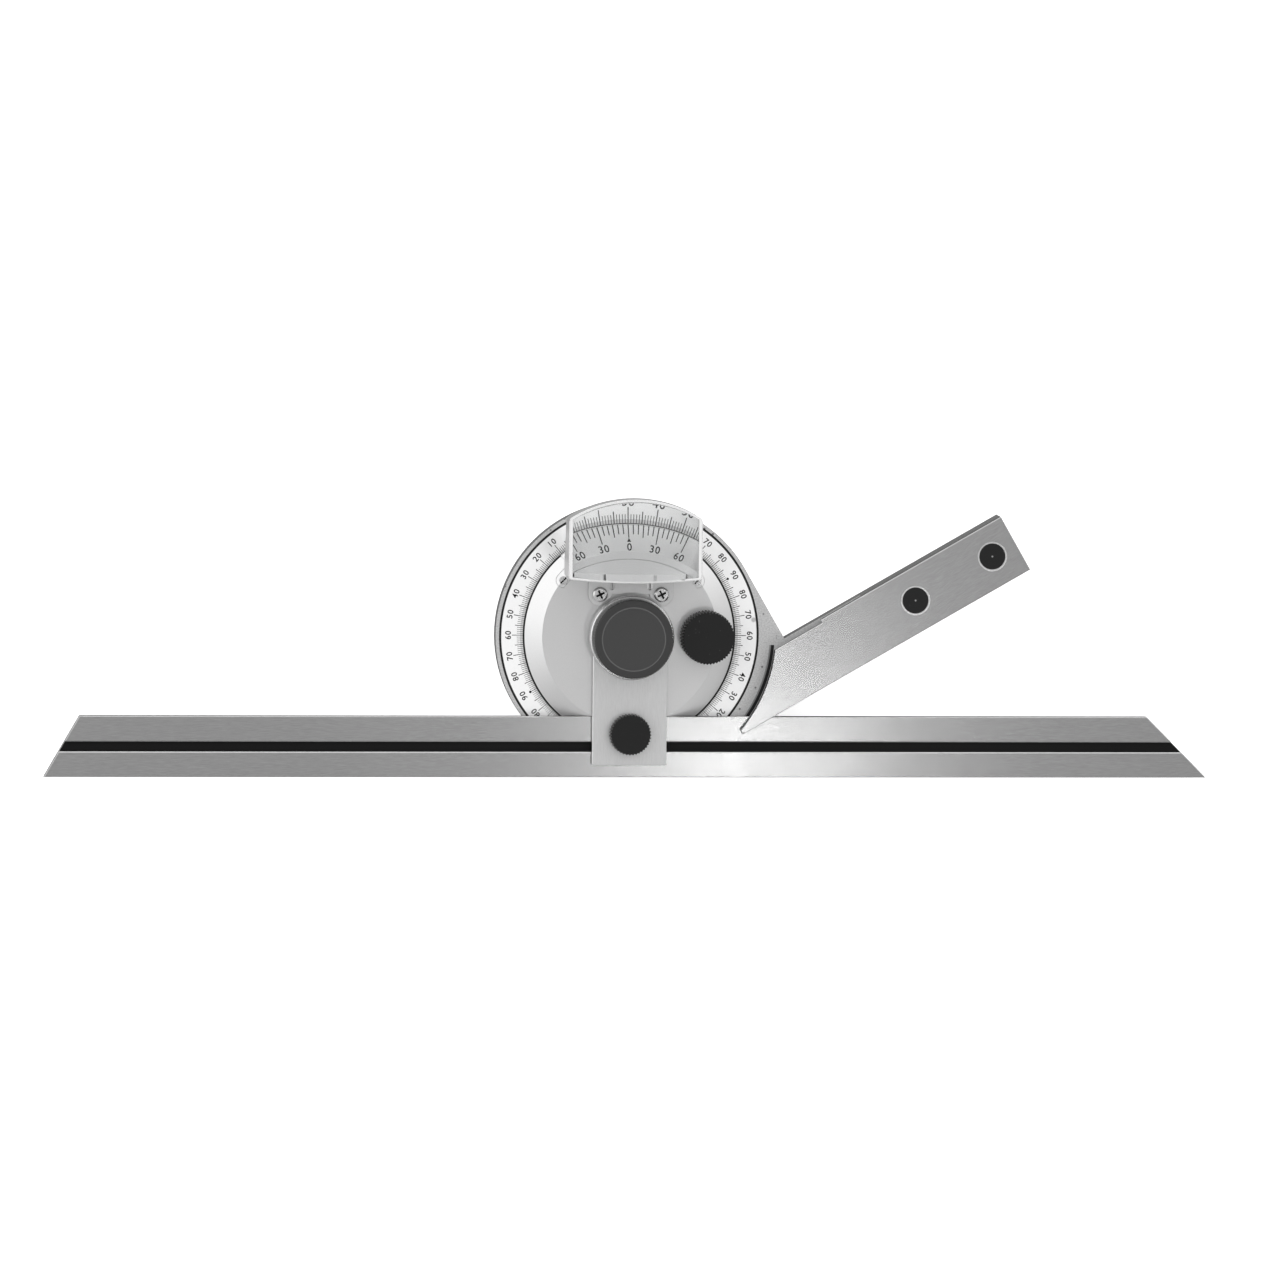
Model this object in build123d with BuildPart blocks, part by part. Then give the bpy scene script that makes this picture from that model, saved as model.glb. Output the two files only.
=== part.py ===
"""Universal bevel protractor, lying on its back: stock, dial, swivelling turret with vernier and magnifier,
and a grooved 300 mm blade. The pivot axis is Z, the back is the plane Z = 0, and the blade runs along X.
Millimetres."""

from build123d import *
from math import acos, cos, degrees, pi, radians, sin, tan
import os

# Blade: a grooved straightedge with a 60 degree and a 45 degree end
blade_length = 300.0
blade_width = 15.7
blade_thickness = 2.0
blade_left_angle = 60.0
blade_right_angle = 45.0
groove_width = 2.5
groove_depth = 0.9
groove_flare = 0.35
groove_mouth_width = 0.3
groove_mouth_depth = 0.12
blade_edge_chamfer = 0.15

# Stock: both working edges lie this far from the pivot axis
working_edge = 36.4
stock_angle = 30.0
stock_width = 15.7
stock_length = 98.1
stock_plate_thickness = 1.5
stock_relief = 0.9
stock_relief_end = 44.6
stock_tip_radius = 37.4
stock_tip_start = 12.8
stock_edge_chamfer = 0.15
base_bar_start = 5.0
spacer_length = 41.1
rivet_end_margin = 6.9
rivet_spacing = 22.8
rivet_head_radius = 3.35
rivet_head_height = 1.1
rivet_shank_radius = 2.0
rivet_seat_width = 0.4
rivet_seat_depth = 0.08
rivet_end_wall = 0.6

# Frame and dial
frame_radius = 34.4
frame_thickness = 4.8
frame_floor = 0.9
frame_edge_chamfer = 0.3
dial_outer_radius = 33.1
dial_inner_radius = 27.35
dial_thickness = 1.6
dial_seam = 0.12
boss_radius = 13.6

# Internal gear drive of the fine adjustment
gear_module = 0.7
pinion_teeth = 14
ring_teeth = 70
gear_pressure_angle = 20.0
gear_thickness = 1.6
pinion_addendum = 0.6
ring_addendum = 0.5
gear_dedendum = 0.8
tooth_thinning = 0.1
ring_gear_wall = 1.6
pinion_end_gap = 0.07

# Running clearances
turning_gap = 0.1
shaft_gap = 0.04
thread_gap = 0.03
nut_gap = 0.05
blade_lift = 0.15
blade_cover_gap = 0.1
blade_ledge_gap = 0.1
stock_cover_gap = 0.15

# Turret and vernier
plateau_radius = 22.6
cone_foot_radius = 27.0
vernier_inner_radius = 21.2
vernier_half_angle = 41.0
vernier_thickness = 0.8
vernier_seat_gap = 0.06
vernier_ear_radius = 1.8
vernier_screw_circle = 22.4
vernier_screw_angle = 50.5
vernier_screw_head_radius = 1.05
vernier_screw_head_height = 0.55
vernier_screw_sink = 0.4
vernier_screw_shank_radius = 0.6
vernier_screw_length = 2.6
small_slot_width = 0.35
small_slot_depth = 0.3

# Pivot and lock
pivot_radius = 4.0
pivot_thread_radius = 3.0
pivot_root_depth = 1.8
pivot_shoulder_drop = 0.1
bush_wall = 1.5
lock_washer_thickness = 0.4
lock_washer_radius = 8.0
lock_nut_radius = 10.8
lock_nut_height = 4.0
lock_nut_chamfer = 0.25
lock_cap_radius = 10.2
lock_cap_height = 3.9
lock_cap_chamfer = 0.35
lock_knurl_pitch = 0.75
lock_knurl_depth = 0.15
lock_spigot_radius = 6.5
lock_spigot_depth = 1.2
cap_ring_radius = 8.1
cap_ring_width = 0.3
cap_ring_depth = 0.1

# Blade clamp
clamp_plate_half_width = 9.6
clamp_plate_thickness = 1.5
clamp_plate_margin = 3.2
clamp_plate_corner = 0.4
clamp_plate_chamfer = 0.15
clamp_screw_circle = 7.0
clamp_screw_head_radius = 1.4
clamp_screw_head_height = 0.8
clamp_screw_sink = 0.05
clamp_screw_shank_radius = 0.8
clamp_screw_length = 3.0
clamp_axis = 25.0
hook_half_width = 1.6
hook_foot_thickness = 0.6
hook_pocket_gap = 0.08
hook_heel = 1.8
hook_shank_radius = 1.5
groove_gap = 0.1

# Knurled knobs of the blade clamp and the fine adjustment
knurl_pitch = 0.85
knurl_depth = 0.4
knob_chamfer = 0.3
knob_blind_end = 0.7
clamp_knob_radius = 5.3
clamp_knob_height = 3.3
clamp_washer_thickness = 0.3
clamp_washer_radius = 3.4
fine_knob_radius = 6.85
fine_knob_height = 5.6
fine_shaft_radius = 1.5
fine_bush_wall = 1.4
fine_bush_flange_radius = 3.7
fine_bush_flange = 0.5
set_screw_radius = 0.8
set_screw_depth = 1.0
set_screw_angle = -60.0

# Magnifier
bracket_thickness = 0.8
bracket_half_width = 10.9
bracket_ear_radius = 3.0
bracket_screw_y = 10.8
bracket_hub_gap = 0.35
bracket_end = 18.2
bracket_slit_x = 4.85
bracket_slit_width = 0.45
bracket_slit_start = 12.4
bracket_slit_end_radius = 0.45
bracket_screw_head_radius = 1.9
bracket_screw_head_height = 0.9
bracket_screw_bevel = 0.35
bracket_screw_shank_radius = 0.9
bracket_screw_length = 2.4
cross_slot_width = 0.5
cross_slot_length = 2.3
cross_slot_depth = 0.5
bezel_half_width = 17.15
bezel_near_edge = 14.5
bezel_near_rise = 0.97
bezel_side_length = 15.5
bezel_crown = 5.0
bezel_height = 11.15
bezel_side_wall = 1.05
bezel_end_wall = 0.7
bezel_near_corner = 0.9
bezel_far_corner = 1.6
bezel_edge_bevel = 0.2
bezel_skirt_start = 20.0
bezel_skirt_rise = 5.6
lens_curvature = 29.8
lens_thickness = 7.1
lens_recess = 2.55

# Heights, from the back up
turret_bottom = frame_floor + gear_thickness + 2 * turning_gap
frame_pocket_floor = turret_bottom - turning_gap
dial_face = frame_thickness
blade_bottom = dial_face + blade_lift
blade_top = blade_bottom + blade_thickness
stock_plate_bottom = blade_top + stock_cover_gap
stock_plate_top = stock_plate_bottom + stock_plate_thickness
plateau_top = blade_top + blade_cover_gap
clamp_plate_top = plateau_top + clamp_plate_thickness
lock_washer_top = clamp_plate_top + lock_washer_thickness
lock_nut_bottom = lock_washer_top + nut_gap
lock_nut_top = lock_nut_bottom + lock_nut_height
lock_cap_top = lock_nut_top + lock_cap_height
clamp_washer_top = clamp_plate_top + clamp_washer_thickness
clamp_knob_bottom = clamp_washer_top + nut_gap
clamp_knob_top = clamp_knob_bottom + clamp_knob_height
fine_flange_top = plateau_top + fine_bush_flange
fine_knob_bottom = fine_flange_top + nut_gap
fine_knob_top = fine_knob_bottom + fine_knob_height
bracket_top = plateau_top + bracket_thickness

# Places worked out from the sizes above
blade_inner_edge = working_edge - blade_width
blade_middle = working_edge - blade_width / 2
stock_inner_edge = working_edge - stock_width
stock_middle = working_edge - stock_width / 2
spacer_start = stock_length - spacer_length
rivet_last = stock_length - rivet_end_margin
stock_plane = Plane(origin=(0, 0, 0), x_dir=(cos(radians(stock_angle)), sin(radians(stock_angle)), 0))
turret_radius = dial_inner_radius - turning_gap
bush_radius = pivot_radius + bush_wall
ring_pitch_radius = gear_module * ring_teeth / 2
pinion_pitch_radius = gear_module * pinion_teeth / 2
pinion_axis = ring_pitch_radius - pinion_pitch_radius
ring_gear_radius = ring_pitch_radius + gear_dedendum + ring_gear_wall
fine_bush_radius = fine_shaft_radius + fine_bush_wall
bracket_screw_x = bracket_half_width - bracket_ear_radius
bracket_hub_radius = lock_nut_radius + bracket_hub_gap
clamp_plate_end = working_edge - clamp_plate_margin
hook_toe = blade_middle + groove_width / 2
bezel_top = bracket_top + bezel_height
bezel_far_edge = bezel_near_edge + bezel_near_rise + bezel_side_length
bezel_crown_top = bezel_far_edge + bezel_crown
lens_flat = bezel_top - lens_recess
lens_centre = (bezel_near_edge + bezel_crown_top) / 2


def polar(radius, angle):
    """A point at that radius and angle in degrees."""
    return (radius * cos(radians(angle)), radius * sin(radians(angle)))


def disc(place, radius, low, high, mode=Mode.ADD):
    """Adds or removes an upright cylinder at a place on the plan."""
    with BuildSketch(Plane.XY.offset(low)) as round_face:
        with Locations(place):
            Circle(radius)
    extrude(round_face.sketch, amount=high - low, mode=mode)


def washer(outer_radius, inner_radius, low, high, place=(0, 0)):
    """Adds a flat ring or a plain bush."""
    disc(place, outer_radius, low, high)
    disc(place, inner_radius, low, high, mode=Mode.SUBTRACT)


def slot(place, length, width, low, high, angle=0):
    """Cuts a straight screwdriver slot."""
    with BuildSketch(Plane.XY.offset(low)) as slot_face:
        with Locations(Location(place, angle)):
            Rectangle(length, width)
    extrude(slot_face.sketch, amount=high - low, mode=Mode.SUBTRACT)


def knurled(radius, depth, pitch, low, high, chamfer_size, place=(0, 0)):
    """Adds a straight-knurled disc whose upper edge is chamfered."""
    teeth = round(2 * pi * radius / pitch)
    step = 360 / teeth
    outline = []
    for tooth in range(teeth):
        outline.append(polar(radius, tooth * step))
        outline.append(polar(radius - depth, (tooth + 0.5) * step))
    with BuildSketch(Plane.XY.offset(low)) as knurl_face:
        with Locations(place):
            Polygon(*outline, align=None)
    extrude(knurl_face.sketch, amount=high - low)
    with BuildSketch(Plane(origin=(*place, 0), x_dir=(1, 0, 0), z_dir=(0, -1, 0))) as turned_face:
        with BuildLine() as turned_line:
            Polyline(
                (0, low),
                (radius, low),
                (radius, high - chamfer_size),
                (radius - chamfer_size, high),
                (0, high),
                close=True,
            )
        make_face(turned_line.line)
    revolve(turned_face.sketch, axis=Axis((*place, 0), (0, 0, 1)), mode=Mode.INTERSECT)


def involute(angle):
    """Involute function of a pressure angle in radians."""
    return tan(angle) - angle


def tooth_half_angle(radius, pitch_radius, thinning):
    """Half of an outer tooth's angle in degrees at a radius, for involute flanks."""
    pressure = radians(gear_pressure_angle)
    base_radius = pitch_radius * cos(pressure)
    at_radius = acos(base_radius / max(radius, base_radius))
    at_pitch = (pi * gear_module / 4 - thinning / 2) / pitch_radius
    return degrees(at_pitch + involute(pressure) - involute(at_radius))


def gear_outline(teeth, root_radius, pitch_radius, tip_radius, thinning, first_angle):
    """Corner points of a gear, or of the teeth's hole in a ring gear, with its first tooth at an angle."""
    radii = [root_radius, pitch_radius, tip_radius]
    points = []
    for tooth in range(teeth):
        middle = first_angle + tooth * 360 / teeth
        for radius in radii:
            points.append(polar(radius, middle - tooth_half_angle(radius, pitch_radius, thinning)))
        for radius in reversed(radii):
            points.append(polar(radius, middle + tooth_half_angle(radius, pitch_radius, thinning)))
    return points


def turret_blank(drop):
    """The turned body of the turret, with its upper surfaces lowered by a drop."""
    with BuildSketch(Plane.XZ) as blank_face:
        with BuildLine() as blank_line:
            Polyline(
                (0, turret_bottom),
                (turret_radius, turret_bottom),
                (turret_radius, dial_face - drop),
                (cone_foot_radius, dial_face - drop),
                (plateau_radius, plateau_top - drop),
                (0, plateau_top - drop),
                close=True,
            )
        make_face(blank_line.line)
    return revolve(blank_face.sketch, axis=Axis.Z, mode=Mode.PRIVATE)


def vernier_prism(gap):
    """An upright prism on the plan of the vernier plate, a gap larger all round."""
    first = 90 - vernier_half_angle
    last = 90 + vernier_half_angle
    reach = turret_radius + turning_gap
    with BuildSketch(Plane.XY) as plan:
        with BuildLine() as sector:
            inner = CenterArc((0, 0), vernier_inner_radius, first, 2 * vernier_half_angle)
            outer = CenterArc((0, 0), reach, first, 2 * vernier_half_angle)
            Line(inner @ 0, outer @ 0)
            Line(inner @ 1, outer @ 1)
        make_face(sector.line)
        with BuildLine() as band:
            start = 90 - vernier_screw_angle
            arm_inner = vernier_screw_circle - vernier_ear_radius
            arm_outer = vernier_screw_circle + vernier_ear_radius
            near_arc = CenterArc((0, 0), arm_inner, start, 2 * vernier_screw_angle)
            far_arc = CenterArc((0, 0), arm_outer, start, 2 * vernier_screw_angle)
            Line(near_arc @ 0, far_arc @ 0)
            Line(near_arc @ 1, far_arc @ 1)
        make_face(band.line)
        with Locations(*vernier_screw_places):
            Circle(vernier_ear_radius)
        Circle(vernier_inner_radius, mode=Mode.SUBTRACT)
        if gap > 0:
            offset(amount=gap)
    return extrude(plan.sketch, amount=plateau_top + 1, mode=Mode.PRIVATE)


def groove_section(gap):
    """Across the blade's undercut groove, or across what slides in it with a gap all round."""
    mouth = groove_width / 2 - gap
    floor = mouth + groove_flare
    return [
        (-blade_middle - mouth, blade_top),
        (-blade_middle - floor, blade_top - groove_depth + gap),
        (-blade_middle + floor, blade_top - groove_depth + gap),
        (-blade_middle + mouth, blade_top),
    ]


def bezel_outline(height):
    """The magnifier's outline at a height: a nearly straight lower arc, upright sides and a crowned top."""
    shoulder = bezel_near_edge + bezel_near_rise
    with BuildSketch(Plane.XY.offset(height)) as plan:
        with BuildLine():
            ThreePointArc((-bezel_half_width, shoulder), (0, bezel_near_edge), (bezel_half_width, shoulder))
            Line((bezel_half_width, shoulder), (bezel_half_width, bezel_far_edge))
            ThreePointArc(
                (bezel_half_width, bezel_far_edge),
                (0, bezel_crown_top),
                (-bezel_half_width, bezel_far_edge),
            )
            Line((-bezel_half_width, bezel_far_edge), (-bezel_half_width, shoulder))
        make_face()
        fillet(plan.vertices().group_by(Axis.Y)[0], bezel_near_corner)
        fillet(plan.vertices().group_by(Axis.Y)[-1], bezel_far_corner)
    return plan.sketch


def bezel_opening(height):
    """The opening inside the magnifier's walls at a height, with thicker walls at its sides."""
    with BuildSketch(Plane.XY.offset(height)) as opening:
        add(bezel_outline(0))
        offset(amount=-bezel_end_wall)
        with Locations((0, (bezel_near_edge + bezel_crown_top) / 2)):
            Rectangle(
                2 * (bezel_half_width - bezel_side_wall),
                bezel_crown_top - bezel_near_edge,
                mode=Mode.INTERSECT,
            )
    return opening.sketch


def save(part, name):
    """Labels a finished piece and writes it as its own file."""
    part.label = name
    export_step(part, f"parts/{name}.step")


vernier_screw_places = [polar(vernier_screw_circle, 90 + side * vernier_screw_angle) for side in (-1, 1)]
rivet_places = [(rivet_last - rivet_spacing, -stock_middle), (rivet_last, -stock_middle)]
bracket_screw_places = [(side * bracket_screw_x, bracket_screw_y) for side in (-1, 1)]
clamp_screw_places = [(side * clamp_screw_circle, 0) for side in (-1, 1)]

os.makedirs("parts", exist_ok=True)

# Frame: round body, square corner up to the stock, lower bar of the stock and the block that spaces its plate
with BuildPart() as frame_plate:
    with BuildSketch(stock_plane):
        Circle(frame_radius)
        with BuildLine():
            Polyline(
                (0, 0),
                (frame_radius, 0),
                (frame_radius, -stock_inner_edge),
                (stock_length, -stock_inner_edge),
                (stock_length, -working_edge),
                (base_bar_start, -working_edge),
                (0, -stock_inner_edge),
                close=True,
            )
        make_face()
    extrude(amount=frame_thickness)
    chamfer(frame_plate.faces().sort_by(Axis.Z)[0].outer_wire().edges(), frame_edge_chamfer)
    with BuildSketch(stock_plane.offset(frame_thickness)):
        with Locations(((spacer_start + stock_length) / 2, -stock_middle)):
            Rectangle(stock_length - spacer_start, stock_width)
    extrude(amount=stock_plate_bottom - frame_thickness)
    dial_seat = frame_thickness - dial_thickness
    disc((0, 0), dial_outer_radius + dial_seam, dial_seat, frame_thickness, Mode.SUBTRACT)
    disc((0, 0), dial_inner_radius, frame_pocket_floor, frame_thickness, Mode.SUBTRACT)
    with BuildSketch(Plane.XY.offset(frame_floor)):
        Circle(ring_gear_radius)
        Circle(boss_radius, mode=Mode.SUBTRACT)
    extrude(amount=frame_pocket_floor - frame_floor, mode=Mode.SUBTRACT)
    disc((0, 0), pivot_radius, frame_pocket_floor - pivot_root_depth, frame_pocket_floor, Mode.SUBTRACT)
    with BuildSketch(stock_plane.offset(rivet_end_wall)):
        with Locations(*rivet_places):
            Circle(rivet_shank_radius)
    extrude(amount=stock_plate_bottom - rivet_end_wall, mode=Mode.SUBTRACT)
save(frame_plate.part, "frame_plate")

# Stock plate: hardened cover whose hollow end follows the dial, over the blade
with BuildPart() as stock_plate:
    with BuildSketch(stock_plane.offset(stock_plate_bottom)):
        with Locations((stock_length / 2, -stock_middle)):
            Rectangle(stock_length, stock_width)
        with Locations((stock_relief_end / 2, -stock_inner_edge - stock_relief / 2)):
            Rectangle(stock_relief_end, stock_relief, mode=Mode.SUBTRACT)
        Circle(stock_tip_radius, mode=Mode.SUBTRACT)
        with Locations((stock_tip_start / 2, -stock_middle)):
            Rectangle(stock_tip_start, stock_width, mode=Mode.SUBTRACT)
    extrude(amount=stock_plate_thickness)
    chamfer(stock_plate.faces().sort_by(Axis.Z)[-1].outer_wire().edges(), stock_edge_chamfer)
    with BuildSketch(stock_plane.offset(stock_plate_bottom)):
        with Locations(*rivet_places):
            Circle(rivet_shank_radius)
    extrude(amount=stock_plate_thickness, mode=Mode.SUBTRACT)
    with BuildSketch(stock_plane.offset(stock_plate_top)):
        with Locations(*rivet_places):
            Circle(rivet_head_radius)
    extrude(amount=-rivet_head_height, mode=Mode.SUBTRACT)
    with BuildSketch(stock_plane.offset(stock_plate_top)):
        with Locations(*rivet_places):
            Circle(rivet_head_radius + rivet_seat_width)
    extrude(amount=-rivet_seat_depth, mode=Mode.SUBTRACT)
save(stock_plate.part, "stock_plate")

# Two black rivets, flush in the stock plate
with BuildPart() as stock_rivets:
    with BuildSketch(stock_plane.offset(rivet_end_wall)):
        with Locations(*rivet_places):
            Circle(rivet_shank_radius)
    extrude(amount=stock_plate_top - rivet_end_wall)
    with BuildSketch(stock_plane.offset(stock_plate_top)):
        with Locations(*rivet_places):
            Circle(rivet_head_radius)
    extrude(amount=-rivet_head_height)
save(stock_rivets.part, "stock_rivets")

# Dial ring, set into the frame flush with its face
with BuildPart() as dial_ring:
    washer(dial_outer_radius, dial_inner_radius, frame_thickness - dial_thickness, frame_thickness)
save(dial_ring.part, "dial_ring")

# Ring gear: internal teeth that the fine adjustment pinion climbs along
with BuildPart() as ring_gear:
    with BuildSketch(Plane.XY.offset(frame_floor)):
        Circle(ring_gear_radius)
        tooth_spaces = gear_outline(
            ring_teeth,
            ring_pitch_radius - ring_addendum,
            ring_pitch_radius,
            ring_pitch_radius + gear_dedendum,
            -tooth_thinning,
            0,
        )
        Polygon(*tooth_spaces, align=None, mode=Mode.SUBTRACT)
    extrude(amount=gear_thickness)
save(ring_gear.part, "ring_gear")

# Pivot stud: pressed into the frame, shouldered, with the lock nut's thread as a plain reduced end
with BuildPart() as pivot_stud:
    shoulder = clamp_plate_top - pivot_shoulder_drop
    disc((0, 0), pivot_radius, frame_pocket_floor - pivot_root_depth, shoulder)
    disc((0, 0), pivot_thread_radius, shoulder, lock_nut_top - lock_spigot_depth)
save(pivot_stud.part, "pivot_stud")

# Turret: turned disc with a cone border, a flat for the blade and a seat for the vernier plate
with BuildPart() as turret:
    add(turret_blank(0))
    add(vernier_prism(vernier_seat_gap), mode=Mode.SUBTRACT)
    add(turret_blank(vernier_thickness))
    with BuildSketch(Plane.XY.offset(dial_face)):
        with Locations((0, -working_edge)):
            Rectangle(4 * turret_radius, 2 * (blade_width + blade_ledge_gap))
    extrude(amount=plateau_top, mode=Mode.SUBTRACT)
    disc((0, 0), bush_radius, turret_bottom, plateau_top, Mode.SUBTRACT)
    disc((pinion_axis, 0), fine_bush_radius, turret_bottom, plateau_top, Mode.SUBTRACT)
    for place in vernier_screw_places:
        tapped = plateau_top - vernier_screw_length
        disc(place, vernier_screw_shank_radius, tapped, plateau_top, Mode.SUBTRACT)
    for place in bracket_screw_places:
        tapped = bracket_top - bracket_screw_length
        disc(place, bracket_screw_shank_radius, tapped, plateau_top, Mode.SUBTRACT)
    for place in clamp_screw_places:
        tapped = clamp_plate_top - clamp_screw_length
        disc(place, clamp_screw_shank_radius, tapped, plateau_top, Mode.SUBTRACT)
save(turret.part, "turret")

# Turret bush, which runs on the pivot stud
with BuildPart() as turret_bush:
    washer(bush_radius, pivot_radius + shaft_gap, turret_bottom, plateau_top)
save(turret_bush.part, "turret_bush")

# Vernier plate: a bent strip let into the turret flush with its cone, with an ear at each end
with BuildPart() as vernier_plate:
    add(vernier_prism(0))
    add(turret_blank(0), mode=Mode.INTERSECT)
    add(turret_blank(vernier_thickness), mode=Mode.SUBTRACT)
    for place in vernier_screw_places:
        disc(place, vernier_screw_shank_radius, turret_bottom, plateau_top, Mode.SUBTRACT)
        seat = plateau_top - vernier_screw_sink
        disc(place, vernier_screw_head_radius, seat, plateau_top, Mode.SUBTRACT)
save(vernier_plate.part, "vernier_plate")

# Two slotted screws of the vernier plate
with BuildPart() as vernier_screws:
    for place in vernier_screw_places:
        head_bottom = plateau_top - vernier_screw_sink
        head_top = head_bottom + vernier_screw_head_height
        disc(place, vernier_screw_shank_radius, plateau_top - vernier_screw_length, head_top)
        disc(place, vernier_screw_head_radius, head_bottom, head_top)
        slot_floor = head_top - small_slot_depth
        slot(place, 2 * vernier_screw_head_radius, small_slot_width, slot_floor, head_top, 45)
save(vernier_screws.part, "vernier_screws")

# Clamp plate: reaches from under the lock nut across the blade
with BuildPart() as clamp_plate:
    with BuildSketch(Plane.XY.offset(plateau_top)) as clamp_plan:
        with Locations((0, -clamp_plate_end / 2)):
            Rectangle(2 * clamp_plate_half_width, clamp_plate_end)
        fillet(clamp_plan.vertices().group_by(Axis.Y)[0], clamp_plate_corner)
        Circle(clamp_plate_half_width)
    extrude(amount=clamp_plate_thickness)
    chamfer(clamp_plate.faces().sort_by(Axis.Z)[-1].outer_wire().edges(), clamp_plate_chamfer)
    disc((0, 0), pivot_radius + shaft_gap, plateau_top, clamp_plate_top, Mode.SUBTRACT)
    disc((0, -clamp_axis), hook_shank_radius + shaft_gap, plateau_top, clamp_plate_top, Mode.SUBTRACT)
    with BuildSketch(Plane.XY.offset(plateau_top)):
        with Locations((0, -(clamp_axis - hook_heel + hook_toe) / 2)):
            Rectangle(
                2 * (hook_half_width + hook_pocket_gap),
                hook_toe - clamp_axis + hook_heel + 2 * hook_pocket_gap,
            )
    extrude(amount=hook_foot_thickness + hook_pocket_gap, mode=Mode.SUBTRACT)
    for place in clamp_screw_places:
        disc(place, clamp_screw_shank_radius, plateau_top, clamp_plate_top, Mode.SUBTRACT)
        seat = clamp_plate_top - clamp_screw_sink - clamp_screw_head_height
        disc(place, clamp_screw_head_radius, seat, clamp_plate_top, Mode.SUBTRACT)
save(clamp_plate.part, "clamp_plate")

# Two screws of the clamp plate, sunk under the lock washer
with BuildPart() as clamp_screws:
    for place in clamp_screw_places:
        head_top = clamp_plate_top - clamp_screw_sink
        disc(place, clamp_screw_shank_radius, clamp_plate_top - clamp_screw_length, head_top)
        disc(place, clamp_screw_head_radius, head_top - clamp_screw_head_height, head_top)
        slot(place, 2 * clamp_screw_head_radius, small_slot_width, head_top - small_slot_depth, head_top)
save(clamp_screws.part, "clamp_screws")

# Clamp hook: a bolt whose foot reaches sideways into the blade's groove
with BuildPart() as clamp_hook:
    with BuildSketch(Plane.XY.offset(plateau_top)):
        with Locations((0, -(clamp_axis - hook_heel + hook_toe) / 2)):
            Rectangle(2 * hook_half_width, hook_toe - clamp_axis + hook_heel)
    extrude(amount=hook_foot_thickness)
    with BuildSketch(Plane.YZ):
        with BuildLine():
            Polyline(*groove_section(groove_gap), close=True)
        make_face()
        with Locations((-blade_middle, (blade_top + plateau_top) / 2)):
            Rectangle(groove_width - 2 * groove_gap, plateau_top - blade_top)
    extrude(amount=hook_half_width, both=True)
    disc((0, -clamp_axis), hook_shank_radius, plateau_top, clamp_knob_top - knob_blind_end - turning_gap)
save(clamp_hook.part, "clamp_hook")

# Washer under the clamp knob
with BuildPart() as clamp_washer:
    place = (0, -clamp_axis)
    washer(clamp_washer_radius, hook_shank_radius + shaft_gap, clamp_plate_top, clamp_washer_top, place)
save(clamp_washer.part, "clamp_washer")

# Clamp knob: knurled nut on the hook bolt
with BuildPart() as clamp_knob:
    place = (0, -clamp_axis)
    heights = (clamp_knob_bottom, clamp_knob_top)
    knurled(clamp_knob_radius, knurl_depth, knurl_pitch, *heights, knob_chamfer, place)
    bore = hook_shank_radius + thread_gap
    disc(place, bore, clamp_knob_bottom, clamp_knob_top - knob_blind_end, Mode.SUBTRACT)
save(clamp_knob.part, "clamp_knob")

# Fine adjustment bush, pressed into the turret with its flange on the plateau
with BuildPart() as fine_adjust_bush:
    place = (pinion_axis, 0)
    disc(place, fine_bush_radius, turret_bottom, plateau_top)
    disc(place, fine_bush_flange_radius, plateau_top, fine_flange_top)
    disc(place, fine_shaft_radius + shaft_gap, turret_bottom, fine_flange_top, Mode.SUBTRACT)
save(fine_adjust_bush.part, "fine_adjust_bush")

# Pinion of the fine adjustment, with a tooth space towards the ring gear's first space
with BuildPart() as fine_adjust_pinion:
    pinion_bottom = frame_floor + pinion_end_gap
    with BuildSketch(Plane.XY.offset(pinion_bottom)):
        with Locations((pinion_axis, 0)):
            pinion_points = gear_outline(
                pinion_teeth,
                pinion_pitch_radius - gear_dedendum,
                pinion_pitch_radius,
                pinion_pitch_radius + pinion_addendum,
                tooth_thinning,
                0,
            )
            Polygon(*pinion_points, align=None)
            Circle(fine_shaft_radius, mode=Mode.SUBTRACT)
    extrude(amount=gear_thickness)
save(fine_adjust_pinion.part, "fine_adjust_pinion")

# Shaft of the fine adjustment
with BuildPart() as fine_adjust_shaft:
    disc((pinion_axis, 0), fine_shaft_radius, pinion_bottom, fine_knob_top - knob_blind_end)
save(fine_adjust_shaft.part, "fine_adjust_shaft")

# Fine adjustment knob, held on its shaft by a set screw
set_screw_height = (fine_knob_bottom + fine_knob_top - knob_chamfer) / 2
set_screw_plane = Plane(
    origin=(pinion_axis, 0, set_screw_height),
    x_dir=(0, 0, 1),
    z_dir=(*polar(1, set_screw_angle), 0),
)
with BuildPart() as fine_adjust_knob:
    place = (pinion_axis, 0)
    heights = (fine_knob_bottom, fine_knob_top)
    knurled(fine_knob_radius, knurl_depth, knurl_pitch, *heights, knob_chamfer, place)
    disc(place, fine_shaft_radius, fine_knob_bottom, fine_knob_top - knob_blind_end, Mode.SUBTRACT)
    with BuildSketch(set_screw_plane.offset(fine_shaft_radius)):
        Circle(set_screw_radius)
    extrude(amount=fine_knob_radius, mode=Mode.SUBTRACT)
save(fine_adjust_knob.part, "fine_adjust_knob")

# Set screw in the side of the fine adjustment knob
with BuildPart() as knob_set_screw:
    with BuildSketch(set_screw_plane.offset(fine_shaft_radius + shaft_gap)):
        Circle(set_screw_radius)
    extrude(amount=fine_knob_radius - set_screw_depth - fine_shaft_radius)
    with BuildSketch(set_screw_plane.offset(fine_knob_radius - set_screw_depth + shaft_gap)):
        Rectangle(2 * set_screw_radius, small_slot_width)
    extrude(amount=-small_slot_depth, mode=Mode.SUBTRACT)
save(knob_set_screw.part, "knob_set_screw")

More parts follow.
